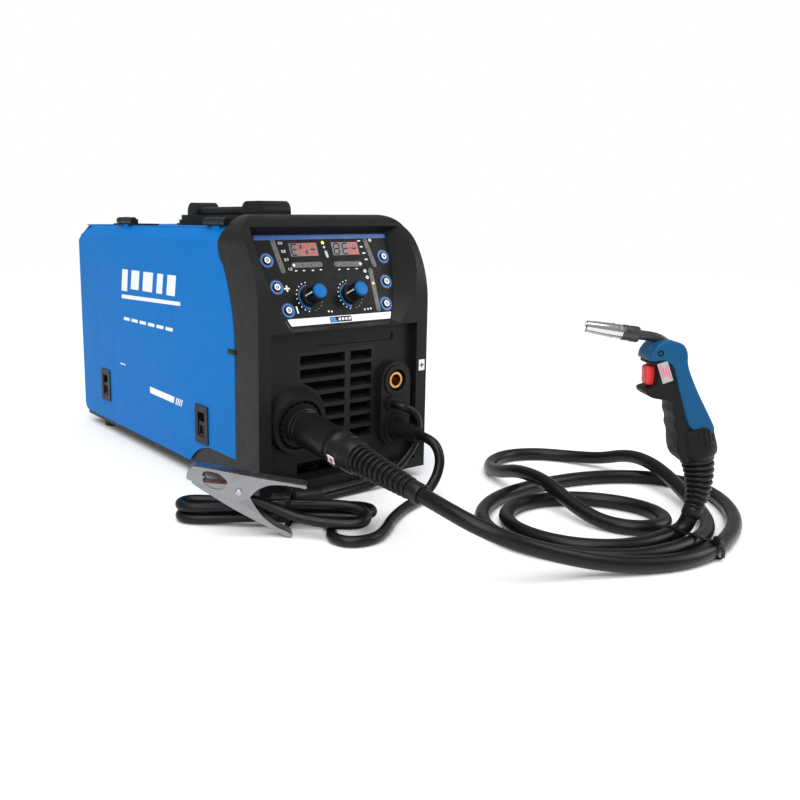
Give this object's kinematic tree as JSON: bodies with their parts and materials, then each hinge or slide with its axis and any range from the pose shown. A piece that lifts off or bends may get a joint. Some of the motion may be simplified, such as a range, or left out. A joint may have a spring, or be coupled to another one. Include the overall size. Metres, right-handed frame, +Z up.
{
  "type": "mig welder",
  "caption": "Compact wire-feed arc welder with hinged side door, sloped control fascia, carry handle, welding gun on a looped cable and an earth clamp on a tied lead.",
  "frame": {"origin": "on the floor, in the middle of the footprint of the case, gun and clamp together", "axes": "+X to the user's right across the front, +Y from the front to the rear, +Z up"},
  "size_m": [0.5298, 0.8464, 0.315],
  "materials": {
    "blue_sheet": "powder coat, fine orange peel",
    "black_plastic": "moulded, light texture",
    "fascia_print": "printed overlay",
    "circuit_board": "solder mask",
    "blue_cap": "moulded knob cap",
    "button_rubber": "moulded key",
    "bare_steel": "zinc plated",
    "foot_rubber": "moulded",
    "spool_plastic": "moulded reel",
    "transformer_steel": "laminated core with coil",
    "socket_brass": "turned",
    "red_plastic": "moulded",
    "cable_rubber": "extruded sheath",
    "blue_grip": "moulded shell",
    "black_grip": "soft grip",
    "gun_chrome": "plated copper",
    "tie_nylon": "nylon"
  },
  "bodies": {
    "case": {"front_bezel": "black_plastic", "front_grille": "black_plastic", "fascia_panel": "fascia_print", "control_board": "circuit_board", "base_pan": "blue_sheet", "case_cover": "blue_sheet", "rear_panel": "blue_sheet", "centre_partition": "bare_steel", "hinge_brackets": "bare_steel", "rubber_feet": "foot_rubber", "case_screws": "bare_steel", "carry_handle": "black_plastic", "feeder_plate": "bare_steel", "feed_motor": "bare_steel", "spool_hub": "black_plastic", "main_transformer": "transformer_steel", "inverter_board": "circuit_board", "fan_frame": "black_plastic", "rear_fittings": "black_plastic", "weld_sockets": "black_plastic", "socket_contacts": "socket_brass", "lead_gland": "black_plastic", "gun_socket": "black_plastic", "connector_housing": "black_plastic", "cable_relief": "cable_rubber", "earth_plug": "black_plastic", "earth_lead": "cable_rubber", "lead_hank": "cable_rubber", "polarity_lead": "cable_rubber", "polarity_plug": "black_plastic", "torch_cable": "cable_rubber", "cable_ties": "tie_nylon", "torch_relief": "cable_rubber", "torch_shell": "blue_grip", "torch_grip": "black_grip", "torch_neck": "gun_chrome", "torch_nozzle": "gun_chrome", "clamp_body": "bare_steel"},
    "door": {"side_door": "blue_sheet", "latch_housings": "black_plastic"},
    "latch_rear": {"latch_slider_rear": "black_plastic"},
    "latch_front": {"latch_slider_front": "black_plastic"},
    "knob_left": {"left_knob": "blue_cap"},
    "knob_right": {"right_knob": "blue_cap"},
    "key_left_top": {"button_left_top": "button_rubber"},
    "key_left_middle": {"button_left_middle": "button_rubber"},
    "key_left_bottom": {"button_left_bottom": "button_rubber"},
    "key_right_top": {"button_right_top": "button_rubber"},
    "key_right_middle": {"button_right_middle": "button_rubber"},
    "key_right_bottom": {"button_right_bottom": "button_rubber"},
    "rocker": {"power_rocker": "red_plastic"},
    "fan": {"fan_rotor": "black_plastic"},
    "spool": {"wire_spool": "spool_plastic"},
    "drive": {"drive_roll": "bare_steel"},
    "arm": {"pressure_arm": "bare_steel"},
    "press_roll": {"pressure_roll": "bare_steel"},
    "tension": {"tension_knob": "red_plastic"},
    "nut": {"connector_nut": "black_plastic"},
    "trigger": {"torch_trigger": "red_plastic"},
    "clamp_top": {"clamp_lever": "bare_steel"}
  },
  "joints": [
    {"name": "door_hinge", "type": "hinge", "parent": "case", "child": "door", "pos_m": [-0.0915, 0.154, 0.2915], "axis": [0, 1, 0], "range_deg": [0, 105]},
    {"name": "latch_rear_slide", "type": "slide", "parent": "door", "child": "latch_rear", "axis": [0, 0, 1], "range_m": [0, 0.009]},
    {"name": "latch_front_slide", "type": "slide", "parent": "door", "child": "latch_front", "axis": [0, 0, 1], "range_m": [0, 0.009]},
    {"name": "left_knob_turn", "type": "hinge", "parent": "case", "child": "knob_left", "pos_m": [-0.0265, -0.06839, 0.21354], "axis": [0, -0.9205, 0.3907], "continuous": true},
    {"name": "right_knob_turn", "type": "hinge", "parent": "case", "child": "knob_right", "pos_m": [0.0275, -0.06839, 0.21354], "axis": [0, -0.9205, 0.3907], "continuous": true},
    {"name": "button_left_top_press", "type": "slide", "parent": "case", "child": "key_left_top", "axis": [0, 0.9205, -0.3907], "range_m": [0, 0.0008], "stiffness_N_per_m": 600},
    {"name": "button_left_middle_press", "type": "slide", "parent": "case", "child": "key_left_middle", "axis": [0, 0.9205, -0.3907], "range_m": [0, 0.0008], "stiffness_N_per_m": 600},
    {"name": "button_left_bottom_press", "type": "slide", "parent": "case", "child": "key_left_bottom", "axis": [0, 0.9205, -0.3907], "range_m": [0, 0.0008], "stiffness_N_per_m": 600},
    {"name": "button_right_top_press", "type": "slide", "parent": "case", "child": "key_right_top", "axis": [0, 0.9205, -0.3907], "range_m": [0, 0.0008], "stiffness_N_per_m": 600},
    {"name": "button_right_middle_press", "type": "slide", "parent": "case", "child": "key_right_middle", "axis": [0, 0.9205, -0.3907], "range_m": [0, 0.0008], "stiffness_N_per_m": 600},
    {"name": "button_right_bottom_press", "type": "slide", "parent": "case", "child": "key_right_bottom", "axis": [0, 0.9205, -0.3907], "range_m": [0, 0.0008], "stiffness_N_per_m": 600},
    {"name": "rocker_tilt", "type": "hinge", "parent": "case", "child": "rocker", "pos_m": [0.0825, 0.391, 0.248], "axis": [1, 0, 0], "range_deg": [-20, 0]},
    {"name": "fan_spin", "type": "hinge", "parent": "case", "child": "fan", "pos_m": [0.0605, 0.38, 0.162], "axis": [0, 1, 0], "continuous": true},
    {"name": "spool_spin", "type": "hinge", "parent": "case", "child": "spool", "pos_m": [-0.0665, 0.282, 0.162], "axis": [1, 0, 0], "continuous": true},
    {"name": "drive_roll_spin", "type": "hinge", "parent": "case", "child": "drive", "pos_m": [-0.0535, 0.0062, 0.08093], "axis": [1, 0, 0], "continuous": true},
    {"name": "pressure_arm_hinge", "type": "hinge", "parent": "case", "child": "arm", "pos_m": [-0.0535, -0.03973, 0.10797], "axis": [1, 0, 0], "range_deg": [0, 50]},
    {"name": "pressure_roll_spin", "type": "hinge", "parent": "arm", "child": "press_roll", "pos_m": [-0.0535, 0.00244, 0.10948], "axis": [1, 0, 0], "continuous": true},
    {"name": "tension_knob_turn", "type": "hinge", "parent": "arm", "child": "tension", "pos_m": [-0.0487, 0.02109, 0.12102], "axis": [0, -0.1305, 0.9914], "range_deg": [-360, 360]},
    {"name": "connector_nut_turn", "type": "hinge", "parent": "case", "child": "nut", "pos_m": [-0.0535, -0.08504, 0.08445], "axis": [0, -0.9914, -0.1305], "continuous": true},
    {"name": "trigger_squeeze", "type": "hinge", "parent": "case", "child": "trigger", "pos_m": [0.1455, -0.36559, 0.1615], "axis": [-0.5621, -0.8271, 0], "range_deg": [0, 8], "stiffness_Nm_per_rad": 0.5},
    {"name": "clamp_open", "type": "hinge", "parent": "case", "child": "clamp_top", "pos_m": [-0.1545, -0.138, 0.0455], "axis": [0.5621, 0.8271, 0], "range_deg": [0, 20], "stiffness_Nm_per_rad": 4, "springref_deg": -28.65}
  ],
  "couplings": [
    {"joint": "pressure_roll_spin", "follows": "drive_roll_spin", "ratio": -1.1538}
  ]
}
